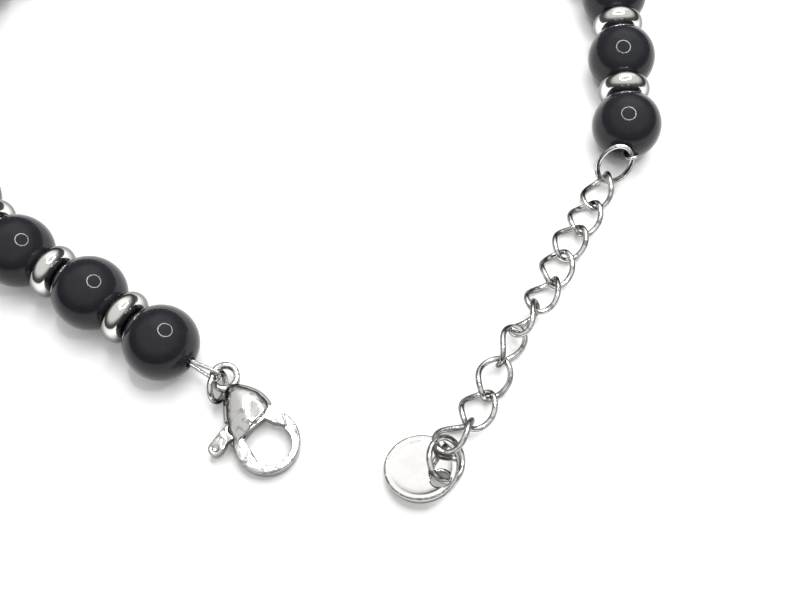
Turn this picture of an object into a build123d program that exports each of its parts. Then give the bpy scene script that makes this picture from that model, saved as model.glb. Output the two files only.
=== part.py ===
import os
from math import cos, pi, radians, sin, sqrt, tan

from build123d import *

# Bracelet of drilled beads laid out on a table, all sizes in mm, +Z up.
# The origin ends up at the bottom centre of the whole laid-out object.

# beads and donut spacers
bead_d = 8.0
bead_bore_d = 1.2
bead_mouth_round = 0.12
spacer_d = 6.0
spacer_thick = 2.49
spacer_hole_d = 2.1
bead_spacer_gap = 0.08
strand_start = (-24.55, -7.10)  # centre of the bead at the clasp end
strand_heading = 145.1  # direction of the first step, degrees
strand_turns = [4.1, -12.8, -15.0, -18.3, -21.1, -21.8, -19.0, -14.9, -11.1,
                -8.6, -8.1, -9.5, -12.9, -17.7, -22.7, -26.4, -1.8]

# beading cable and crimp tubes
cable_d = 0.4
cable_strand_gap = 0.04  # between the two strands in the end beads
cable_bore_run = 3.2  # straight run each side of a bead's centre
cable_tail = 0.6  # cut end, past the middle of the end spacer
cable_rejoin = 0.75  # where the second strand leaves the crimp
cable_loop_clear = 0.09  # between the loop and the ring wire it holds
cable_mouth = 0.02  # where the loop opens, past the end bead's own end
crimp_wall = 0.15
crimp_clear = 0.03
crimp_length = 1.3

# wire findings
wire_d = 0.62
wire_clear = 0.14  # between two wires that hook each other
link_half_length = 2.31
link_half_width = 1.70
link_twist = 45.0  # degrees at each end of the link
link_points = 20  # points the smooth wire centre passes through
# heading, climb and roll of each link in degrees, from the ring to the tag
link_turns = [(244, -10, 35), (240, 2, 10), (236, -1, 0), (250, 5, 0), (236, 5, 30),
              (237, 7, 75), (239, -6, -60), (245, -9, -15), (240, 10, 5), (219, 0, 45)]
oval_half_length = 2.36
oval_half_width = 1.70
oval_turn = (39.9, 52.36, 28.72)  # heading, climb, roll
clasp_ring_r = 1.55  # to the wire's centre
clasp_ring_normal = (-0.935, 0.187, -0.303)
tag_ring_r = 2.2
tag_ring_tilt = (6.66, 38.3, 0.0)  # about x, about y, own spin

# where each ring is held and what it holds: degrees round its wire, and the step across
oval_cable_at = 321.93
oval_from_bead = (0.135, -0.824, 0.636)  # end bead's own end to the oval's wire
oval_link_at = 181.72
link_from_oval = (0.196, 0.275, 0.221)
clasp_ring_cable_at = 212.15
clasp_ring_from_bead = (2.41, -1.15, -0.423)
clasp_ring_eye_at = 290.33
eye_from_clasp_ring = (0.164, -0.283, 0.147)  # ring's wire to the middle of the clasp's eye
tag_ring_link_at = 115.72
tag_ring_from_link = (-0.064, 0.672, 0.467)
tag_ring_tag_at = 254.22
tag_hole_from_ring = (0.018, -0.046, 0.041)

# round tag
tag_d = 7.56
tag_thick = 0.74
tag_edge_round = 0.25
tag_dish_d = 6.4
tag_dish_depth = 0.14
tag_hole_d = 1.9
tag_hole_offset = 2.4
tag_tilt = (-14.57, -5.39, -34.94)

# lobster clasp, drawn flat with its eye on the -x side
clasp_heading = -55.8
clasp_tilt = 4.8  # far end of the claw lowered to the table
opening_r = 2.2
opening_centre = (0.0, 0.45)
claw_r = 3.4
claw_centre = (-0.55, 0.1)  # middle of the claw's outer circle
claw_thick = 1.7
claw_root_angle = 215.0
claw_beak_angle = 100.0
beak_box = (-2.6, -0.1, 1.6, 4.2)  # the beak's part of the claw ring: low and high x, low and high y
claw_round_share = 0.22  # rounding of the claw's edges, as a share of its band's width
eye_x = -8.95
eye_r = 1.62
eye_hole_r = 0.95
eye_thick = 1.0
eye_round_share = 0.42
# sections of the domed body: x, middle y, half width, half thickness
body_sections = [(-7.75, 0.0, 0.62, 0.52), (-6.9, 0.05, 1.42, 1.0), (-5.8, 0.1, 2.15, 1.34),
                 (-4.6, 0.0, 2.6, 1.48), (-3.0, -0.25, 2.8, 1.42), (-1.0, -0.5, 2.7, 1.25)]
body_cut = [(-3.9, 6.0), (-3.75, 2.75), (-3.45, 2.0), (-3.15, 1.1), (-2.85, -0.1), (-2.35, -1.3),
            (-2.1, -2.6), (-2.3, -6.0), (4.0, -6.0), (4.0, 6.0)]
pivot = (-3.4, -1.9)
pin_d = 0.7
pin_length = 2.5
pin_clear = 0.06
lever_thick = 1.3
lever_side_clear = 0.1
lever_hub_r = 0.95
gate_reach = 4.98  # tip of the gate, from the pivot
gate_tip_clear = 0.12
gate_outline = [(-4.1, -1.3), (-3.74, 2.3), (-2.1, 2.98), (-1.0, 3.3), (0.4, 2.4), (-1.2, 0.0),
                (-2.4, -1.2), (-2.7, -2.3)]
neck_outline = [(-4.25, -2.1), (-2.6, -2.3), (-2.68, -3.25), (-2.1, -4.2), (-3.4, -5.0), (-4.15, -3.1)]
knob_centre = (-2.78, -4.6)
knob_r = 0.75
knob_dimple_r = 0.42
knob_dimple_depth = 0.18
slot_outline = [(-3.75, 4.0), (-3.85, 2.3), (-4.58, -1.2), (-4.62, -2.4), (-5.1, -3.3), (-5.7, -6.4),
                (-2.1, -6.4), (-2.5, -3.4), (-2.4, -2.3), (-1.9, -1.95), (-1.35, -1.6), (1.0, 0.0),
                (1.0, 4.0)]

# torsion spring round the clasp's pin
spring_wire_d = 0.16
spring_r = 0.5
spring_turns = 2.25
spring_pitch = 0.18
spring_leg = 1.1
spring_bottom = 0.15
spring_pocket_r = 0.75
spring_pocket_floor = 0.04
leg_notch_floor = 0.42
leg_notch = [(0.1, 0.68), (-1.7, 0.68), (-1.7, -0.7), (-0.3, 0.2)]

spacer_tube_r = spacer_thick / 2
spacer_ring_r = spacer_d / 2 - spacer_tube_r
pitch = 2 * sqrt((bead_d / 2 + spacer_tube_r + bead_spacer_gap) ** 2 - spacer_ring_r**2)
strand_offset = (cable_d + cable_strand_gap) / 2
loop_r = wire_d / 2 + cable_d / 2 + cable_loop_clear
hook_inset = (wire_d + wire_clear) / 2  # from a wire's centre to the contact point
link_pitch = 2 * (link_half_length - hook_inset)
slot_width = lever_thick + 2 * lever_side_clear


def aim(heading, climb, roll):
    """Unit x, y and z directions of a piece from its heading, climb and roll in degrees."""
    h, e, r = radians(heading), radians(climb), radians(roll)
    x = Vector(cos(h) * cos(e), sin(h) * cos(e), sin(e))
    flat = Vector(-sin(h), cos(h), 0)
    up = x.cross(flat)
    return x, flat * cos(r) + up * sin(r), up * cos(r) - flat * sin(r)


def tilted(tilt):
    """x, y and z directions of a piece turned by its own spin, then about x, then about y."""
    about_x, about_y, spin = tilt
    plane = Plane(Rotation(0, about_y, 0) * Rotation(about_x, 0, 0) * Rotation(0, 0, spin))
    return plane.x_dir, plane.y_dir, plane.z_dir


def round_wire(x, y, half_long, half_wide, angle):
    """Step from a ring's centre to its wire's centre, at an angle from its long way."""
    return x * (half_long * cos(radians(angle))) + y * (half_wide * sin(radians(angle)))


def strand_centres():
    """Bead centres along the laid-out strand, every step one pitch long."""
    x, y = strand_start
    heading = strand_heading
    centres = [Vector(x, y, bead_d / 2)]
    for turn in [0.0] + strand_turns:
        heading += turn
        x += pitch * cos(radians(heading))
        y += pitch * sin(radians(heading))
        centres.append(Vector(x, y, bead_d / 2))
    return centres


def bead_directions(centres):
    """Bore direction of each bead: along the strand, halved between its two neighbours."""
    steps = [(b - a).normalized() for a, b in zip(centres, centres[1:])]
    inner = [(a + b).normalized() for a, b in zip(steps, steps[1:])]
    return [steps[0]] + inner + [steps[-1]], steps


def make_bead():
    """One drilled ball with eased bore mouths, bore along z."""
    ball = Sphere(bead_d / 2) - Cylinder(bead_bore_d / 2, 2 * bead_d)
    mouths = ball.edges().filter_by(GeomType.CIRCLE)
    return fillet(mouths, bead_mouth_round)


def make_spacer():
    """One rounded donut with a through hole along z."""
    ring = Torus(spacer_ring_r, spacer_tube_r) - Cylinder(spacer_hole_d / 2, spacer_thick)
    return ring


def closed_wire(path):
    """Round wire along a closed curve: two half sweeps without end caps, joined into one solid."""
    sides = []
    for half in (path.trim(0, 0.5), path.trim(0.5, 1)):
        section = Plane(origin=half @ 0, z_dir=half % 0) * Circle(wire_d / 2)
        swept = sweep(section, path=half)
        sides += [face for face in swept.faces() if face.geom_type != GeomType.PLANE]
    return Solid(Shell(sides))


def make_link():
    """One twisted curb link, long way along x."""
    points = []
    for k in range(link_points):
        t = 2 * pi * k / link_points
        turn = -radians(link_twist) * cos(t)
        across = link_half_width * sin(t)
        points.append((link_half_length * cos(t), across * cos(turn), across * sin(turn)))
    return closed_wire(Spline(*points, periodic=True))


def make_oval():
    """The flat oval jump ring at the chain end, long way along x."""
    return closed_wire(Ellipse(oval_half_length, oval_half_width).edge())


def make_tag():
    """Dished round tag with a hole near its edge, thickness along z."""
    disc = Cylinder(tag_d / 2, tag_thick)
    disc = fillet(disc.edges().filter_by(GeomType.CIRCLE), tag_edge_round)
    dish_r = ((tag_dish_d / 2) ** 2 + tag_dish_depth**2) / (2 * tag_dish_depth)
    disc -= Pos(0, 0, tag_thick / 2 - tag_dish_depth + dish_r) * Sphere(dish_r)
    return disc - Pos(tag_hole_offset, 0, 0) * Cylinder(tag_hole_d / 2, 2 * tag_thick)


def prism(points, thickness, bottom=None):
    """Straight-sided piece over a corner list, centred on z = 0 unless a bottom is given."""
    face = make_face(Polyline(*points, close=True))
    low = -thickness / 2 if bottom is None else bottom
    return Pos(0, 0, low) * extrude(face, thickness)


def make_clasp_body():
    """Claw, domed body and eye in one piece, slotted for the lever and drilled for the pin."""
    ring = Pos(*claw_centre, 0) * Cylinder(claw_r, claw_thick)
    ring -= Pos(*opening_centre, 0) * Cylinder(opening_r, claw_thick)
    ring = fillet(ring.edges().filter_by(GeomType.CIRCLE), claw_round_share * (claw_r - opening_r))
    gap_from, gap_to = radians(claw_beak_angle), radians(claw_root_angle)
    far = 3 * claw_r
    gap = [(0, 0), (far * cos(gap_from), far * sin(gap_from)), (-far, far),
           (far * cos(gap_to), far * sin(gap_to))]
    beak_left, beak_right, beak_low, beak_high = beak_box
    beak = prism([(beak_left, beak_low), (beak_right, beak_low), (beak_right, beak_high),
                  (beak_left, beak_high)], claw_thick)
    gate_sweep = Pos(*pivot, 0) * Cylinder(gate_reach + gate_tip_clear, claw_thick)
    claw = ring - prism(gap, 2 * claw_thick) + (ring & beak) - (gate_sweep & beak)
    sections = []
    for x, y, half_width, half_thick in body_sections:
        plane = Plane(origin=(x, y, 0), x_dir=(0, 1, 0), z_dir=(1, 0, 0))
        sections.append(plane * Ellipse(half_width, half_thick))
    dome = loft(sections) - prism(body_cut, 4 * claw_thick)
    eye = Pos(eye_x, 0, 0) * (Cylinder(eye_r, eye_thick) - Cylinder(eye_hole_r, eye_thick))
    eye = fillet(eye.edges().filter_by(GeomType.CIRCLE), eye_round_share * (eye_r - eye_hole_r))
    body = dome + claw + eye
    body -= Pos(eye_x, 0, 0) * Cylinder(eye_hole_r, eye_thick)
    body -= prism(slot_outline, slot_width) & gate_sweep
    return body - Pos(*pivot, 0) * Cylinder(pin_d / 2, 4 * claw_thick)


def make_lever():
    """Gate and thumb knob in one flat piece, turning on the pin, with the spring's pocket."""
    gate = prism(gate_outline, lever_thick) & Pos(*pivot, 0) * Cylinder(gate_reach, lever_thick)
    gate -= Pos(*opening_centre, 0) * Cylinder(opening_r, lever_thick)
    hub = Pos(*pivot, 0) * Cylinder(lever_hub_r, lever_thick)
    knob = Pos(*knob_centre, 0) * Cylinder(knob_r, lever_thick)
    lever = gate + hub + prism(neck_outline, lever_thick) + knob
    top = lever_thick / 2
    dimple_r = (knob_dimple_r**2 + knob_dimple_depth**2) / (2 * knob_dimple_depth)
    for side in (1, -1):
        lever -= Pos(*knob_centre, side * (top - knob_dimple_depth + dimple_r)) * Sphere(dimple_r)
    pocket_depth = top - spring_pocket_floor
    lever -= Pos(*pivot, spring_pocket_floor + pocket_depth / 2) * Cylinder(spring_pocket_r, pocket_depth)
    lever -= Pos(*pivot, 0) * prism(leg_notch, lever_thick, leg_notch_floor)
    return lever - Pos(*pivot, 0) * Cylinder(pin_d / 2 + pin_clear, 2 * lever_thick)


def make_spring():
    """Torsion spring round the pin with one leg bearing on the slot's wall."""
    height = spring_turns * spring_pitch
    coil = Helix(spring_pitch, height, spring_r)
    end = coil @ 1
    leg = Line(end, end + Vector(-spring_leg, 0, 0))
    section = Plane(origin=coil @ 0, z_dir=coil % 0) * Circle(spring_wire_d / 2)
    body = sweep(section, path=coil) + sweep(Plane(origin=end, z_dir=(-1, 0, 0)) * Circle(spring_wire_d / 2),
                                             path=leg)
    return Pos(*pivot, spring_bottom) * body


def loop_points(mouth, side, held):
    """Corners of the cable's teardrop round a held wire, and the two mouth points."""
    away = held - mouth
    reach = away.length
    along = away.normalized()
    across = (side - along * side.dot(along)).normalized()
    spread = strand_offset + (loop_r - strand_offset) * (reach + loop_r) / reach * 1.03
    first = held + along * loop_r + across * spread
    second = held + along * loop_r - across * spread
    return [mouth + side * strand_offset, first, second, mouth - side * strand_offset]


def loop_side(direction, held, mouth, tangent):
    """Sideways direction of the doubled strands: across the bore, in the plane of the loop."""
    across = (held - mouth).cross(tangent)
    return (across - direction * across.dot(direction)).normalized()


def cable_route(centres, directions, steps, left_loop, right_loop, left_side, right_side):
    """Corner points of the whole cable, from one cut end to the other."""
    middle_first = (centres[0] + centres[1]) * 0.5
    middle_last = (centres[-2] + centres[-1]) * 0.5
    first, last = steps[0], steps[-1]
    points = [middle_first + first * cable_tail + left_side * strand_offset]
    points += left_loop
    points.append(middle_first + first * cable_rejoin - left_side * strand_offset)
    for centre, direction in zip(centres[1:-1], directions[1:-1]):
        points += [centre - direction * cable_bore_run, centre + direction * cable_bore_run]
    points.append(middle_last - last * cable_rejoin + right_side * strand_offset)
    points += right_loop
    points.append(middle_last - last * cable_tail - right_side * strand_offset)
    return points


def bend_radii(points):
    """Largest radius each corner leaves room for: 0.45 of its shorter run."""
    radii = []
    for before, here, after in zip(points, points[1:], points[2:]):
        come, go = here - before, after - here
        half_turn = radians(come.get_angle(go)) / 2
        radii.append(0.45 * min(come.length, go.length) / tan(half_turn))
    return radii


def make_cable(points, radii):
    """Round cable along straight runs joined by tangent arcs."""
    path = FilletPolyline(*points, radius=radii)
    section = Plane(origin=path @ 0, z_dir=path % 0) * Circle(cable_d / 2)
    return sweep(section, path=path)


def make_crimp():
    """Flattened tube round two strands, length along z, strands side by side along x."""
    inner_tall = cable_d + 2 * crimp_clear
    inner_wide = 2 * strand_offset + inner_tall
    outer = SlotOverall(inner_wide + 2 * crimp_wall, inner_tall + 2 * crimp_wall)
    return extrude(outer - SlotOverall(inner_wide, inner_tall), crimp_length / 2, both=True)


centres = strand_centres()
directions, steps = bead_directions(centres)
pieces = {}

bead = make_bead()
for number, (centre, direction) in enumerate(zip(centres, directions), 1):
    pieces[f"bead_{number:02d}"] = Plane(origin=centre, z_dir=direction).location * bead

spacer = make_spacer()
middles = [(a + b) * 0.5 for a, b in zip(centres, centres[1:])]
for number, (middle, step) in enumerate(zip(middles, steps), 1):
    pieces[f"spacer_{number:02d}"] = Plane(origin=middle, z_dir=step).location * spacer

# ring at the clasp end, held by the cable's loop
left_end = centres[0] - steps[0] * (bead_d / 2)
ring_plane = Plane(origin=(0, 0, 0), z_dir=Vector(*clasp_ring_normal))
ring_x, ring_y = ring_plane.x_dir, ring_plane.y_dir
left_held = left_end + Vector(*clasp_ring_from_bead)
ring_middle = left_held - round_wire(ring_x, ring_y, clasp_ring_r, clasp_ring_r, clasp_ring_cable_at)
pieces["clasp_jump_ring"] = Plane(origin=ring_middle, z_dir=ring_plane.z_dir).location * Torus(clasp_ring_r, wire_d / 2)

# clasp, its eye on that ring
ring_at_eye = ring_middle + round_wire(ring_x, ring_y, clasp_ring_r, clasp_ring_r, clasp_ring_eye_at)
eye_middle = ring_at_eye + Vector(*eye_from_clasp_ring)
clasp_x, clasp_y, clasp_z = aim(clasp_heading, -clasp_tilt, 0)
clasp_centre = eye_middle - clasp_x * eye_x
clasp_frame = Plane(origin=clasp_centre, x_dir=clasp_x, z_dir=clasp_z).location
pieces["clasp_body"] = clasp_frame * make_clasp_body()
pieces["clasp_lever"] = clasp_frame * make_lever()
pieces["clasp_pin"] = clasp_frame * (Pos(*pivot, 0) * Cylinder(pin_d / 2, pin_length))
pieces["clasp_spring"] = clasp_frame * make_spring()

# oval ring at the chain end, held by the cable's other loop
right_end = centres[-1] + steps[-1] * (bead_d / 2)
oval_x, oval_y, oval_z = aim(*oval_turn)
right_held = right_end + Vector(*oval_from_bead)
oval_middle = right_held - round_wire(oval_x, oval_y, oval_half_length, oval_half_width, oval_cable_at)
pieces["chain_jump_ring"] = Plane(origin=oval_middle, x_dir=oval_x, z_dir=oval_z).location * make_oval()

# extender chain, each link hooked on the one before
link = make_link()
oval_at_link = oval_middle + round_wire(oval_x, oval_y, oval_half_length, oval_half_width, oval_link_at)
hooks = [oval_at_link + Vector(*link_from_oval)]
for number, turns in enumerate(link_turns, 1):
    x, y, z = aim(*turns)
    middle = hooks[-1] + x * (link_pitch / 2)
    pieces[f"chain_link_{number:02d}"] = Plane(origin=middle, x_dir=x, z_dir=z).location * link
    hooks.append(hooks[-1] + x * link_pitch)

# ring on the last link, and the tag hanging on it
tag_ring_x, tag_ring_y, tag_ring_z = tilted(tag_ring_tilt)
ring_at_link = hooks[-1] + Vector(*tag_ring_from_link)
tag_ring_centre = ring_at_link - round_wire(tag_ring_x, tag_ring_y, tag_ring_r, tag_ring_r, tag_ring_link_at)
tag_ring_plane = Plane(origin=tag_ring_centre, x_dir=tag_ring_x, z_dir=tag_ring_z)
pieces["tag_ring"] = tag_ring_plane.location * Torus(tag_ring_r, wire_d / 2)
tag_x, tag_y, tag_z = tilted(tag_tilt)
ring_at_tag = tag_ring_centre + round_wire(tag_ring_x, tag_ring_y, tag_ring_r, tag_ring_r, tag_ring_tag_at)
tag_centre = ring_at_tag + Vector(*tag_hole_from_ring) - tag_x * tag_hole_offset
pieces["tag_disc"] = Plane(origin=tag_centre, x_dir=tag_x, z_dir=tag_z).location * make_tag()

# cable: doubled through both end beads, looped round the two rings
left_mouth = left_end - steps[0] * cable_mouth
right_mouth = right_end + steps[-1] * cable_mouth
left_side = loop_side(steps[0], left_held, left_mouth, ring_plane.z_dir.cross(left_held - ring_middle))
right_side = loop_side(steps[-1], right_held, right_mouth, oval_z.cross(right_held - oval_middle))
left_loop = loop_points(left_mouth, left_side, left_held)
right_loop = loop_points(right_mouth, right_side, right_held)
route = cable_route(centres, directions, steps, left_loop, right_loop, left_side, right_side)
radii = bend_radii(route)
pieces["beading_cable"] = make_cable(route, radii)

crimp = make_crimp()
for name, middle, step, side in (("crimp_clasp_end", middles[0], steps[0], left_side),
                                 ("crimp_chain_end", middles[-1], steps[-1], right_side)):
    pieces[name] = Plane(origin=middle, x_dir=side, z_dir=step).location * crimp

# bottom centre of the whole object to the origin
boxes = [piece.bounding_box() for piece in pieces.values()]
low, high = boxes[0].min, boxes[0].max
for box in boxes:
    low = Vector(min(low.X, box.min.X), min(low.Y, box.min.Y), min(low.Z, box.min.Z))
    high = Vector(max(high.X, box.max.X), max(high.Y, box.max.Y), max(high.Z, box.max.Z))
shift = Vector(-(low.X + high.X) / 2, -(low.Y + high.Y) / 2, -low.Z)
pieces = {name: Pos(*shift) * piece for name, piece in pieces.items()}

os.makedirs("parts", exist_ok=True)
for name, piece in pieces.items():
    export_step(piece, f"parts/{name}.step")
print("pieces", len(pieces), "pitch", round(pitch, 3), "cable bends", [round(r, 2) for r in radii])
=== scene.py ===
import math

import bmesh
import bpy
from mathutils import Matrix, Vector


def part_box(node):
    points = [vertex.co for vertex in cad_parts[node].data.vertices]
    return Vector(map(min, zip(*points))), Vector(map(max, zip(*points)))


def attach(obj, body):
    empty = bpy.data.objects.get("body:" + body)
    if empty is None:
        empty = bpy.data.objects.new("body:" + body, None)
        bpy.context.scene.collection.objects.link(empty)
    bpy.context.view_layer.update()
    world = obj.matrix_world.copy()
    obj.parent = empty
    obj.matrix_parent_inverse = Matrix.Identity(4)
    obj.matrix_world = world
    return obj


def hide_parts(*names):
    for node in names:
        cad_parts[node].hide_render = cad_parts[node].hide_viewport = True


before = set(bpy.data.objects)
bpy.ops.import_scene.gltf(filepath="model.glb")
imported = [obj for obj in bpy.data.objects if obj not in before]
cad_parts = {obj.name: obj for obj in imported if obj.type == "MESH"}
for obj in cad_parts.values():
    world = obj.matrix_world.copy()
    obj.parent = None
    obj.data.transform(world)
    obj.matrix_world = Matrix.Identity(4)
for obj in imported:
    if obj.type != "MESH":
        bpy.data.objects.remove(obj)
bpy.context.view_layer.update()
mm = 0.001
print("frame loaded")

# lengths in mm and angles in degrees, here and in every dictionary below
strand = {"start": (-24.55, -7.10, 4.0), "beads": 19}
weld = {"solid": 0.0005, "wire": 0.001}


def middleOf(node):
    low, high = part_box(node)
    return (low + high) / 2


shift = middleOf("bead_01") - Vector(strand["start"]) * mm  # layout to frame, from the first bead


def place(point):
    return Vector(point) * mm + shift


def aim(heading, climb, roll):
    h, e, r = math.radians(heading), math.radians(climb), math.radians(roll)
    x = Vector((math.cos(h) * math.cos(e), math.sin(h) * math.cos(e), math.sin(e)))
    flat = Vector((-math.sin(h), math.cos(h), 0))
    up = x.cross(flat)
    return x, flat * math.cos(r) + up * math.sin(r), up * math.cos(r) - flat * math.sin(r)


def basis(x, y, z, origin):
    turn = Matrix((x, y, z)).transposed().to_4x4()
    return Matrix.Translation(origin) @ turn


def along(direction, origin):
    return Matrix.Translation(origin) @ direction.to_track_quat("Z", "Y").to_matrix().to_4x4()


def tilted(origin, tilt):
    x, y, spin = (math.radians(v) for v in tilt)
    turn = Matrix.Rotation(y, 4, "Y") @ Matrix.Rotation(x, 4, "X") @ Matrix.Rotation(spin, 4, "Z")
    return Matrix.Translation(origin) @ turn


def addPiece(name, bm, matrix, material, body, node):
    bmesh.ops.transform(bm, matrix=matrix, verts=bm.verts)
    bmesh.ops.recalc_face_normals(bm, faces=bm.faces)
    mesh = bpy.data.meshes.new(name)
    bm.to_mesh(mesh)
    bm.free()
    piece = bpy.data.objects.new(name, mesh)
    bpy.context.scene.collection.objects.link(piece)
    mesh.shade_smooth()
    mesh.materials.append(material)
    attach(piece, body)
    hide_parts(node)
    return piece


def merged(node):  # welded copy of a CAD solid
    bm = bmesh.new()
    bm.from_mesh(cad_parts[node].data)
    bmesh.ops.remove_doubles(bm, verts=bm.verts, dist=weld["solid"] * mm)
    return bm


# materials
def newMaterial(name):
    material = bpy.data.materials.new(name)
    material.use_nodes = True
    tree = material.node_tree
    return material, tree, tree.nodes["Principled BSDF"]


def addNoise(tree, scale, detail, vector):
    noise = tree.nodes.new("ShaderNodeTexNoise")
    noise.inputs["Scale"].default_value = scale
    noise.inputs["Detail"].default_value = detail
    tree.links.new(vector, noise.inputs["Vector"])
    return noise


def addRange(tree, source, start, end, into, smooth=False):
    spread = tree.nodes.new("ShaderNodeMapRange")
    spread.interpolation_type = "SMOOTHSTEP" if smooth else "LINEAR"
    spread.inputs["From Min"].default_value, spread.inputs["From Max"].default_value = start, end
    spread.inputs["To Min"].default_value, spread.inputs["To Max"].default_value = into
    tree.links.new(source, spread.inputs["Value"])
    return spread.outputs["Result"]


def addMath(tree, operation, first, second):
    node = tree.nodes.new("ShaderNodeMath")
    node.operation = operation
    for socket, source in zip(node.inputs, (first, second)):
        tree.links.new(source, socket)
    return node.outputs["Value"]


stoneLook = {"dark": (0.0155, 0.016, 0.0195), "light": (0.0195, 0.020, 0.0245), "blend": (0.35, 0.75),
             "cloud": 900, "fine": 4000, "rough": (0.03, 0.09), "bump": 0.01, "depth": 0.00002, "ior": 1.32}


def stoneMaterial():
    material, tree, shader = newMaterial("beadStone")
    where = tree.nodes.new("ShaderNodeTexCoord").outputs["Object"]
    cloud = addNoise(tree, stoneLook["cloud"], 5, where)
    ramp = tree.nodes.new("ShaderNodeValToRGB")
    for stop, position, colour in zip(ramp.color_ramp.elements, stoneLook["blend"],
                                      (stoneLook["dark"], stoneLook["light"])):
        stop.position = position
        stop.color = (*colour, 1)
    tree.links.new(cloud.outputs["Fac"], ramp.inputs["Fac"])
    tree.links.new(ramp.outputs["Color"], shader.inputs["Base Color"])
    fine = addNoise(tree, stoneLook["fine"], 3, where)
    rough = addRange(tree, fine.outputs["Fac"], 0, 1, stoneLook["rough"])
    tree.links.new(rough, shader.inputs["Roughness"])
    bump = tree.nodes.new("ShaderNodeBump")
    bump.inputs["Strength"].default_value = stoneLook["bump"]
    bump.inputs["Distance"].default_value = stoneLook["depth"]
    tree.links.new(fine.outputs["Fac"], bump.inputs["Height"])
    tree.links.new(bump.outputs["Normal"], shader.inputs["Normal"])
    shader.inputs["IOR"].default_value = stoneLook["ior"]
    return material


# every steel has the grain; colour, painted reflection streaks and painted dark outlines (the dark room
# reflected) differ
grainLook = {"cloud": 700, "Swell": {"scale": 1100, "detail": 1, "depth": 0.0001},
             "Grain": {"scale": 5000, "detail": 4, "depth": 0.00002}}
# painted reflection: noise streaks darken the steel's base colour, standing for reflected dark blotches
paintedReflectionLook = {"scale": 650, "warp": 1.2, "blend": (0.48, 0.62)}
# in each steel, the rim entries set the painted dark outlines and the streak entry sets the painted
# reflection streaks
steels = {
    "polished": {"colour": (0.82, 0.81, 0.785), "rim": (0.24, 0.62), "paintedDarkRimTone": 0.18, "paintedReflectionTone": 0.97,
                 "rough": (0.04, 0.10), "swell": 0.15, "grain": 0.03},
    "wire": {"colour": (0.88, 0.87, 0.85), "rim": (0.20, 0.52), "paintedDarkRimTone": 0.10, "paintedReflectionTone": 0.45,
             "rough": (0.06, 0.14), "swell": 0.3, "grain": 0.05},
    "cast": {"colour": (0.72, 0.71, 0.69), "rim": (0.26, 0.62), "paintedDarkRimTone": 0.14, "paintedReflectionTone": 0.55,
             "rough": (0.08, 0.16), "swell": 0.5, "grain": 0.05},
    "cable": {"colour": (0.74, 0.73, 0.71), "rim": (0.20, 0.55), "paintedDarkRimTone": 0.25, "paintedReflectionTone": 0.85,
              "rough": (0.15, 0.30), "swell": 0.2, "grain": 0.4},
    "spring": {"colour": (0.60, 0.60, 0.60), "rim": (0.20, 0.55), "paintedDarkRimTone": 0.30, "paintedReflectionTone": 0.90,
               "rough": (0.20, 0.30), "swell": 0.1, "grain": 0.1},
}


def grainGroup():  # soft swells and fine grain
    group = bpy.data.node_groups.new("steelGrain", "ShaderNodeTree")
    group.interface.new_socket("Vector", in_out="INPUT", socket_type="NodeSocketVector")
    for name in ("Rough Low", "Rough High", "Swell", "Grain"):
        group.interface.new_socket(name, in_out="INPUT", socket_type="NodeSocketFloat")
    group.interface.new_socket("Roughness", in_out="OUTPUT", socket_type="NodeSocketFloat")
    group.interface.new_socket("Normal", in_out="OUTPUT", socket_type="NodeSocketVector")
    given = group.nodes.new("NodeGroupInput")
    out = group.nodes.new("NodeGroupOutput")
    cloud = addNoise(group, grainLook["cloud"], 4, given.outputs["Vector"])
    rough = group.nodes.new("ShaderNodeMapRange")
    group.links.new(cloud.outputs["Fac"], rough.inputs["Value"])
    group.links.new(given.outputs["Rough Low"], rough.inputs["To Min"])
    group.links.new(given.outputs["Rough High"], rough.inputs["To Max"])
    group.links.new(rough.outputs["Result"], out.inputs["Roughness"])
    previous = None
    for name in ("Swell", "Grain"):
        layer = grainLook[name]
        noise = addNoise(group, layer["scale"], layer["detail"], given.outputs["Vector"])
        bump = group.nodes.new("ShaderNodeBump")
        bump.inputs["Distance"].default_value = layer["depth"]
        group.links.new(given.outputs[name], bump.inputs["Strength"])
        group.links.new(noise.outputs["Fac"], bump.inputs["Height"])
        if previous:
            group.links.new(previous.outputs["Normal"], bump.inputs["Normal"])
        previous = bump
    group.links.new(previous.outputs["Normal"], out.inputs["Normal"])
    return group


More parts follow.
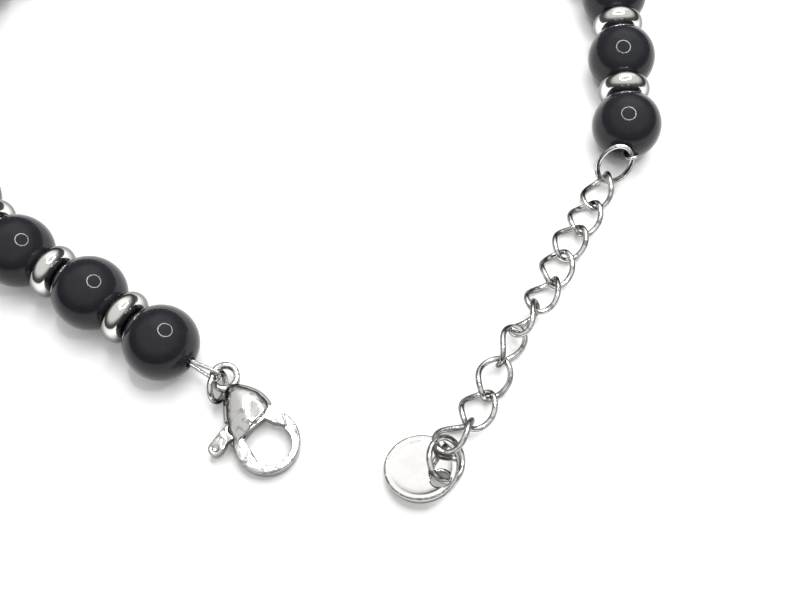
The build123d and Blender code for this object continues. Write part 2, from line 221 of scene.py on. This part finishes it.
def steelMaterial(name, look, grain):
    material, tree, shader = newMaterial(name)
    where = tree.nodes.new("ShaderNodeTexCoord").outputs["Object"]
    surface = tree.nodes.new("ShaderNodeGroup")
    surface.node_tree = grain
    tree.links.new(where, surface.inputs["Vector"])
    surface.inputs["Rough Low"].default_value, surface.inputs["Rough High"].default_value = look["rough"]
    surface.inputs["Swell"].default_value = look["swell"]
    surface.inputs["Grain"].default_value = look["grain"]
    tree.links.new(surface.outputs["Roughness"], shader.inputs["Roughness"])
    tree.links.new(surface.outputs["Normal"], shader.inputs["Normal"])
    rim = tree.nodes.new("ShaderNodeLayerWeight")  # painted reflection: the base colour darkens along the outlines, standing for the dark room reflected there
    paintedDarkRim = addRange(tree, rim.outputs["Facing"], *look["rim"], (1, look["paintedDarkRimTone"]), smooth=True)
    # painted reflection streaks in the base colour
    paintedReflectionNoise = addNoise(tree, paintedReflectionLook["scale"], 2, where)
    paintedReflectionNoise.inputs["Distortion"].default_value = paintedReflectionLook["warp"]
    paintedReflectionStreaks = addRange(tree, paintedReflectionNoise.outputs["Fac"], *paintedReflectionLook["blend"], (1, look["paintedReflectionTone"]))
    tone = tree.nodes.new("ShaderNodeVectorMath")
    tone.operation = "SCALE"
    tone.inputs[0].default_value = look["colour"]
    tree.links.new(addMath(tree, "MULTIPLY", paintedDarkRim, paintedReflectionStreaks), tone.inputs["Scale"])
    tree.links.new(tone.outputs["Vector"], shader.inputs["Base Color"])
    shader.inputs["Metallic"].default_value = 1
    return material


stone = stoneMaterial()
steelGrain = grainGroup()
polished, wireSteel, cast, cableSteel, springSteel = (steelMaterial(f"{name}Steel", look, steelGrain)
                                                      for name, look in steels.items())
print("materials made")

# strand: drilled beads and donuts, turned from one profile each
bead = {"radius": 4.0, "bore": 0.6, "mouth": 0.12, "segments": 96, "rings": 56}
spacer = {"outer": 3.0, "tube": 1.245, "hole": 1.05, "mouth": 0.05, "segments": 96, "rings": 40}
lipSteps = 4


def arcProfile(centreX, radius, wall, lip, rings):  # an arc, a rounded lip at each end and a straight wall
    angle = math.acos((wall + lip - centreX) / radius)
    high = radius * math.sin(angle)
    bm = bmesh.new()
    start = bm.verts.new((wall + lip, 0, high))
    bmesh.ops.spin(bm, geom=[start], cent=(centreX, 0, 0), axis=(0, 1, 0), dvec=(0, 0, 0),
                   angle=2 * angle, steps=rings)
    bm.verts.ensure_lookup_table()
    ends = []
    for corner, side in ((bm.verts[0], 1), (bm.verts[-1], -1)):
        for k in range(1, lipSteps + 1):
            turn = math.pi / 2 / lipSteps * k
            across, up = wall + lip - lip * math.sin(turn), high - lip + lip * math.cos(turn)
            following = bm.verts.new((across, 0, side * up))
            bm.edges.new((corner, following))
            corner = following
        ends.append(corner)
    bm.edges.new(ends)
    return bm


def turned(piece, centreX, radius, wall):
    bm = arcProfile(centreX * mm, radius * mm, wall * mm, piece["mouth"] * mm, piece["rings"])
    bmesh.ops.spin(bm, geom=bm.verts[:] + bm.edges[:], cent=(0, 0, 0), axis=(0, 0, 1), dvec=(0, 0, 0),
                   angle=2 * math.pi, steps=piece["segments"], use_merge=True)
    return bm


centres = [middleOf(f"bead_{n:02d}") for n in range(1, strand["beads"] + 1)]
steps = [(b - a).normalized() for a, b in zip(centres, centres[1:])]
directions = [steps[0]] + [(a + b).normalized() for a, b in zip(steps, steps[1:])] + [steps[-1]]
for number, (centre, direction) in enumerate(zip(centres, directions), 1):
    node = f"bead_{number:02d}"
    bm = turned(bead, 0, bead["radius"], bead["bore"])
    addPiece(f"stoneBead{number:02d}", bm, along(direction, centre), stone, node, node)
for number, (a, b) in enumerate(zip(centres, centres[1:]), 1):
    node = f"spacer_{number:02d}"
    bm = turned(spacer, spacer["outer"] - spacer["tube"], spacer["tube"], spacer["hole"])
    addPiece(f"donutSpacer{number:02d}", bm, along(b - a, (a + b) / 2), polished, node, node)
print("strand made")

# chain and rings, all bent from one wire; places are steps from the bead at that end
wire = {"radius": 0.31, "around": 20, "along": 112}
link = {"half": 2.31, "wide": 1.70, "twist": 45.0, "pitch": 3.86, "fromBead": (-2.671, -5.770, -2.190)}
linkTurns = [(244, -10, 35), (240, 2, 10), (236, -1, 0), (250, 5, 0), (236, 5, 30),  # heading, climb, roll
             (237, 7, 75), (239, -6, -60), (245, -9, -15), (240, 10, 5), (219, 0, 45)]
oval = {"half": 2.36, "wide": 1.70, "fromBead": (-1.806, -5.099, -0.528), "turn": (39.9, 52.36, 28.72)}
claspRing = {"radius": 1.55, "fromBead": (5.949, -4.249, -1.719), "normal": (-0.935, 0.187, -0.303)}
tagRing = {"radius": 2.2, "fromBead": (-21.923, -39.505, -2.291), "tilt": (6.66, 38.3, 0.0)}


def wireLoop(half, wide, twist=0):
    curve = bpy.data.curves.new("wirePath", "CURVE")
    curve.dimensions = "3D"
    curve.bevel_depth = wire["radius"] * mm
    curve.bevel_resolution = wire["around"] // 4
    spline = curve.splines.new("POLY")
    spline.points.add(wire["along"] - 1)
    for k, slot in enumerate(spline.points):
        t = 2 * math.pi * k / wire["along"]
        turn = -math.radians(twist) * math.cos(t)
        across = wide * math.sin(t)
        point = Vector((half * math.cos(t), across * math.cos(turn), across * math.sin(turn)))
        slot.co = (*(point * mm), 1)
    spline.use_cyclic_u = True
    holder = bpy.data.objects.new("wirePath", curve)
    bpy.context.scene.collection.objects.link(holder)
    bpy.context.view_layer.update()
    mesh = bpy.data.meshes.new_from_object(holder)
    bm = bmesh.new()
    bm.from_mesh(mesh)
    bpy.data.objects.remove(holder)
    bpy.data.curves.remove(curve)
    bpy.data.meshes.remove(mesh)
    bmesh.ops.remove_doubles(bm, verts=bm.verts, dist=weld["wire"] * mm)
    return bm


claspEnd, chainEnd = centres[0], centres[-1]
hook = chainEnd + Vector(link["fromBead"]) * mm
for number, turn in enumerate(linkTurns, 1):
    x, y, z = aim(*turn)
    node = f"chain_link_{number:02d}"
    reach = x * link["pitch"] * mm
    bm = wireLoop(link["half"], link["wide"], link["twist"])
    addPiece(f"curbLink{number:02d}", bm, basis(x, y, z, hook + reach / 2), wireSteel, node, node)
    hook += reach
ovalPlace = basis(*aim(*oval["turn"]), chainEnd + Vector(oval["fromBead"]) * mm)
addPiece("ovalRing", wireLoop(oval["half"], oval["wide"]), ovalPlace, wireSteel,
         "chain_jump_ring", "chain_jump_ring")
claspRingPlace = along(Vector(claspRing["normal"]), claspEnd + Vector(claspRing["fromBead"]) * mm)
addPiece("claspRing", wireLoop(claspRing["radius"], claspRing["radius"]), claspRingPlace, wireSteel,
         "clasp_jump_ring", "clasp_jump_ring")
tagRingPlace = tilted(chainEnd + Vector(tagRing["fromBead"]) * mm, tagRing["tilt"])
addPiece("tagRing", wireLoop(tagRing["radius"], tagRing["radius"]), tagRingPlace, wireSteel,
         "tag_ring", "tag_ring")

# round tag with a coined dish
tag = {"radius": 3.78, "thick": 0.74, "edge": 0.22, "edgeSteps": 5, "hole": 0.95, "offset": 2.4,
       "dish": 0.15, "dishRadius": 3.2, "dishPower": 7, "segments": 160, "rows": 40,
       "fromBead": (-24.453, -40.323, -2.601), "tilt": (-14.57, -5.39, -34.94)}


def tagMesh():
    bm = bmesh.new()
    bmesh.ops.create_circle(bm, segments=tag["segments"], radius=tag["radius"] * mm)
    hole = bmesh.ops.create_circle(bm, segments=tag["segments"], radius=tag["hole"] * mm)["verts"]
    bmesh.ops.translate(bm, verts=hole, vec=(tag["offset"] * mm, 0, 0))
    rims = bm.edges[:]
    bmesh.ops.bridge_loops(bm, edges=rims)
    spokes = [e for e in bm.edges if e not in rims]
    bmesh.ops.subdivide_edges(bm, edges=spokes, cuts=tag["rows"], use_grid_fill=False)
    bmesh.ops.translate(bm, verts=bm.verts, vec=(0, 0, -tag["thick"] / 2 * mm))
    top = bmesh.ops.extrude_face_region(bm, geom=bm.faces[:] + bm.edges[:] + bm.verts[:])["geom"]
    topVerts = [g for g in top if isinstance(g, bmesh.types.BMVert)]
    bmesh.ops.translate(bm, verts=topVerts, vec=(0, 0, tag["thick"] * mm))
    bmesh.ops.recalc_face_normals(bm, faces=bm.faces)
    sharp = [e for e in bm.edges if len(e.link_faces) == 2 and e.calc_face_angle(0) > 1]
    bmesh.ops.bevel(bm, geom=sharp, offset=tag["edge"] * mm, affect="EDGES", segments=tag["edgeSteps"],
                    profile=0.5, material=-1)
    for v in bm.verts:
        r = math.hypot(v.co.x, v.co.y) / (tag["dishRadius"] * mm)
        if v.co.z > 0.3 * tag["thick"] * mm and r < 1:  # upper face only
            v.co.z -= tag["dish"] * mm * (1 - r ** tag["dishPower"])
    return bm


addPiece("roundTag", tagMesh(), tilted(chainEnd + Vector(tag["fromBead"]) * mm, tag["tilt"]), polished,
         "tag_disc", "tag_disc")
print("chain made")

# clasp: outlines lie in its own plane, x from the eye to the claw, from the middle of the opening
clasp = {"fromBead": (11.550, -10.480, -2.749), "turn": (-55.8, -4.8, 0.0), "thick": 1.7}
opening = {"outer": 2.5, "outerPlace": (0.0, 0.45), "inner": 2.05, "innerPlace": (0.0, 0.3),
           "start": -40, "end": 110, "steps": 48,
           "sides": [(-2.8, 1.9), (-2.75, 1.1), (-2.6, 0.0), (-2.4, -1.2), (-2.2, -1.75), (1.15, -1.75),
                     (1.8, -0.9), (1.0, 1.6), (-1.2, 1.9)]}
gateEdge = [(-0.6, 2.1), (-1.05, 2.3), (-1.9, 1.62), (-2.72, 1.15), (-2.6, 0.0), (-2.42, -1.2),
            (-2.1, -1.6), (2.0, -1.6), (2.0, 2.1)]
pin = {"pivot": (-3.4, -1.9), "radius": 0.35, "length": 1.9}
rivet = {"radius": 0.39, "high": 0.42, "lows": (0.78, -1.2), "above": 0.9,
         "crown": (-0.19, 2.75, 1.43)}  # the dome's middle y, half width and half thickness
finish = {"voxel": 0.055, "factor": 0.5, "passes": 6}
claspFrame = basis(*aim(*clasp["turn"]), claspEnd + Vector(clasp["fromBead"]) * mm)


def prism(points, thick, low, crown=None):  # straight-sided block in the clasp's own frame
    bm = bmesh.new()
    face = bm.faces.new([bm.verts.new((x * mm, y * mm, low * mm)) for x, y in points])
    top = bmesh.ops.extrude_face_region(bm, geom=[face])["geom"]
    topVerts = [g for g in top if isinstance(g, bmesh.types.BMVert)]
    bmesh.ops.translate(bm, verts=topVerts, vec=(0, 0, thick * mm))
    for v in bm.verts:
        if crown and abs(v.co.z) > rivet["above"] * mm:  # outer end follows the dome
            middle, half, high = crown
            v.co.z = math.copysign(high * mm * math.sqrt(1 - ((v.co.y / mm - middle) / half) ** 2), v.co.z)
    bmesh.ops.transform(bm, matrix=claspFrame, verts=bm.verts)
    bmesh.ops.recalc_face_normals(bm, faces=bm.faces)
    return bm


def arc(centre, radius, start, end, count):
    angles = [math.radians(start + (end - start) * k / count) for k in range(count + 1)]
    return [(centre[0] + radius * math.cos(a), centre[1] + radius * math.sin(a)) for a in angles]


def shaped(bm, tool, operation):  # cut away or add one block
    holders = []
    for part in (bm, tool):
        mesh = bpy.data.meshes.new("block")
        part.to_mesh(mesh)
        part.free()
        holders.append(bpy.data.objects.new("block", mesh))
        bpy.context.scene.collection.objects.link(holders[-1])
    change = holders[0].modifiers.new("change", "BOOLEAN")
    change.operation = operation
    change.object = holders[1]
    bpy.context.view_layer.update()
    result = bpy.data.meshes.new_from_object(holders[0].evaluated_get(bpy.context.evaluated_depsgraph_get()))
    done = bmesh.new()
    done.from_mesh(result)
    for holder in holders:
        mesh = holder.data
        bpy.data.objects.remove(holder)
        bpy.data.meshes.remove(mesh)
    bpy.data.meshes.remove(result)
    return done


def soften(piece):  # cast and tumbled edges
    remesh = piece.modifiers.new("cast", "REMESH")
    remesh.mode = "VOXEL"
    remesh.voxel_size = finish["voxel"] * mm
    remesh.use_smooth_shade = True
    smooth = piece.modifiers.new("tumbled", "SMOOTH")
    smooth.factor = finish["factor"]
    smooth.iterations = finish["passes"]


def pinCircle(radius):
    return arc(pin["pivot"], radius, 0, 350, 35)


start, end = opening["start"], opening["end"]
lining = (arc(opening["outerPlace"], opening["outer"], start, end, opening["steps"])
          + arc(opening["innerPlace"], opening["inner"], end, start, opening["steps"]))
body = shaped(merged("clasp_body"), prism(lining, clasp["thick"], -clasp["thick"] / 2), "UNION")
body = shaped(body, prism(opening["sides"], 2 * clasp["thick"], -clasp["thick"]), "DIFFERENCE")
for low in rivet["lows"]:  # both ends of the pin ground flush
    body = shaped(body, prism(pinCircle(rivet["radius"]), rivet["high"], low, rivet["crown"]), "UNION")
lever = shaped(merged("clasp_lever"), prism(gateEdge, 2 * clasp["thick"], -clasp["thick"]), "DIFFERENCE")
soften(addPiece("claspBody", body, Matrix.Identity(4), cast, "clasp", "clasp_body"))
soften(addPiece("claspLever", lever, Matrix.Identity(4), cast, "clasp_lever", "clasp_lever"))
pinRod = prism(pinCircle(pin["radius"]), pin["length"], -pin["length"] / 2)
addPiece("claspPin", pinRod, Matrix.Identity(4), cast, "clasp", "clasp_pin")
print("clasp made")

# cable: one stretch on each bead and donut, cut from the whole route
cable = {"cut": 1.02, "reach": 8.0, "sliver": 0.0001}


def cableStretch(centre, planes):
    bm = merged("beading_cable")
    far = [f for f in bm.faces if (f.calc_center_median() - centre).length > cable["reach"] * mm]
    bmesh.ops.delete(bm, geom=far, context="FACES")
    for origin, normal in planes:
        bmesh.ops.bisect_plane(bm, geom=bm.verts[:] + bm.edges[:] + bm.faces[:], dist=cable["sliver"] * mm,
                               plane_co=origin, plane_no=normal, clear_outer=True)
    bmesh.ops.holes_fill(bm, edges=[e for e in bm.edges if e.is_boundary], sides=0)
    return bm


def cutPlane(step, side, facing):
    middle = (centres[step] + centres[step + 1]) / 2
    return middle + steps[step] * cable["cut"] * mm * side, steps[step] * facing


last = strand["beads"] - 1
for index, centre in enumerate(centres):
    planes = [cutPlane(index - 1, 1, -1)] if index > 0 else []
    planes += [cutPlane(index, -1, 1)] if index < last else []
    addPiece(f"cableInBead{index + 1:02d}", cableStretch(centre, planes), Matrix.Identity(4), cableSteel,
             f"bead_{index + 1:02d}", "beading_cable")
for index in range(last):
    middle = (centres[index] + centres[index + 1]) / 2
    bm = cableStretch(middle, [cutPlane(index, -1, -1), cutPlane(index, 1, 1)])
    addPiece(f"cableInSpacer{index + 1:02d}", bm, Matrix.Identity(4), cableSteel,
             f"spacer_{index + 1:02d}", "beading_cable")
for node, material in (("crimp_clasp_end", cast), ("crimp_chain_end", cast), ("clasp_spring", springSteel)):
    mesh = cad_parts[node].data
    mesh.materials.clear()
    mesh.materials.append(material)
print("cable made")

# stage: table and soft light in metres, ring lamp in mm from the layout's own middle
# the last table entry is the reach of the painted contact shade beside the beads
table = {"size": 12.0, "colour": (0.90, 0.90, 0.895), "rough": 0.6, "gloss": 0.2,
         "lift": 0.19, "paintedContactShade": 0.03}
ringLamp = {"place": (15.0, 21.5, 96.0), "inner": 35.9, "outer": 39.5, "segments": 128, "power": 38.0}
softLight = {"place": (0.16, 0.27, 0.8), "wide": 0.5, "power": 1.75}
room = {"bands": [(0.0, 0.16), (1.0, 0.80), (0.12, 0.06), (0.34, 0.10), (0.62, 0.72)],  # height, grey
        "windowWay": (0.1, 0.72, 0.69), "window": 0.45, "windowEdge": (0.80, 0.97)}
camera = {"climb": 64.0, "reach": 104.6, "focal": 42.62, "sensor": 36.0, "near": 0.005}


def tableMaterial():  # pale table, whitened for the eye and for the steel, shadows kept, with painted contact shade beside the beads
    material, tree, shader = newMaterial("paleTable")
    shader.inputs["Base Color"].default_value = (*table["colour"], 1)
    shader.inputs["Roughness"].default_value = table["rough"]
    shader.inputs["Specular IOR Level"].default_value = table["gloss"]
    shader.inputs["Emission Color"].default_value = (1, 1, 1, 1)
    rays = tree.nodes.new("ShaderNodeLightPath").outputs
    seen = addMath(tree, "MAXIMUM", rays["Is Camera Ray"], rays["Is Glossy Ray"])
    seen = addMath(tree, "MAXIMUM", seen, rays["Is Transmission Ray"])
    paintedContactShade = tree.nodes.new("ShaderNodeAmbientOcclusion")  # painted contact shade: no lift right beside a bead
    paintedContactShade.inputs["Distance"].default_value = table["paintedContactShade"]
    lift = addRange(tree, addMath(tree, "MULTIPLY", seen, paintedContactShade.outputs["AO"]), 0, 1, (0, table["lift"]))
    tree.links.new(lift, shader.inputs["Emission Strength"])
    return material


def lampMaterial():
    material = bpy.data.materials.new("lampWhite")
    material.use_nodes = True
    tree = material.node_tree
    tree.nodes.clear()
    shine = tree.nodes.new("ShaderNodeEmission")
    shine.inputs["Color"].default_value = (1, 1, 1, 1)
    shine.inputs["Strength"].default_value = ringLamp["power"]
    out = tree.nodes.new("ShaderNodeOutputMaterial")
    tree.links.new(shine.outputs["Emission"], out.inputs["Surface"])
    return material


def addStage(name, bm, matrix, material):
    bmesh.ops.transform(bm, matrix=matrix, verts=bm.verts)
    mesh = bpy.data.meshes.new(name)
    bm.to_mesh(mesh)
    bm.free()
    piece = bpy.data.objects.new(name, mesh)
    bpy.context.scene.collection.objects.link(piece)
    mesh.materials.append(material)
    return piece


bm = bmesh.new()
bmesh.ops.create_grid(bm, x_segments=2, y_segments=2, size=table["size"])
addStage("table", bm, Matrix.Identity(4), tableMaterial())

bm = bmesh.new()
for rim in ("inner", "outer"):
    bmesh.ops.create_circle(bm, segments=ringLamp["segments"], radius=ringLamp[rim] * mm)
bmesh.ops.bridge_loops(bm, edges=bm.edges[:])
ringCentre = place(ringLamp["place"])
lamp = addStage("ringLamp", bm, along(ringCentre - place((0, 0, 0)), ringCentre), lampMaterial())
lamp.visible_camera = False

lightData = bpy.data.lights.new("softLight", "AREA")
lightData.shape = "DISK"
lightData.size = softLight["wide"]
lightData.energy = softLight["power"]
lightHolder = bpy.data.objects.new("softLight", lightData)
lightHolder.matrix_world = along(Vector(softLight["place"]), Vector(softLight["place"]))
lightHolder.visible_glossy = False
bpy.context.scene.collection.objects.link(lightHolder)

# pale studio room with one soft bright wall high on the far side
world = bpy.data.worlds.new("studio")
world.use_nodes = True
tree = world.node_tree
toSky = tree.nodes.new("ShaderNodeTexCoord").outputs["Generated"]
height = tree.nodes.new("ShaderNodeSeparateXYZ")
tree.links.new(toSky, height.inputs["Vector"])
walls = tree.nodes.new("ShaderNodeValToRGB")
for stop, (position, grey) in zip(walls.color_ramp.elements, room["bands"][:2]):
    stop.position = position
    stop.color = (grey, grey, grey, 1)
for position, grey in room["bands"][2:]:
    walls.color_ramp.elements.new(position).color = (grey, grey, grey, 1)
tree.links.new(height.outputs["Z"], walls.inputs["Fac"])
facing = tree.nodes.new("ShaderNodeVectorMath")
facing.operation = "DOT_PRODUCT"
facing.inputs[1].default_value = room["windowWay"]
tree.links.new(toSky, facing.inputs[0])
window = addRange(tree, facing.outputs["Value"], *room["windowEdge"], (0, room["window"]), smooth=True)
total = addMath(tree, "ADD", walls.outputs["Color"], window)
tree.links.new(total, tree.nodes["Background"].inputs["Color"])
tree.nodes["Background"].inputs["Strength"].default_value = 1
bpy.context.scene.world = world

view = bpy.data.cameras.new("camera")
view.lens = camera["focal"]
view.sensor_width = camera["sensor"]
view.clip_start = camera["near"]
holder = bpy.data.objects.new("camera", view)
climb = math.radians(camera["climb"])
back = Vector((0, -math.cos(climb), math.sin(climb)))
holder.matrix_world = along(back, place((0, 0, 0)) + back * camera["reach"] * mm)
bpy.context.scene.collection.objects.link(holder)
bpy.context.scene.camera = holder
bpy.context.scene.view_settings.view_transform = "Standard"
print("stage made")
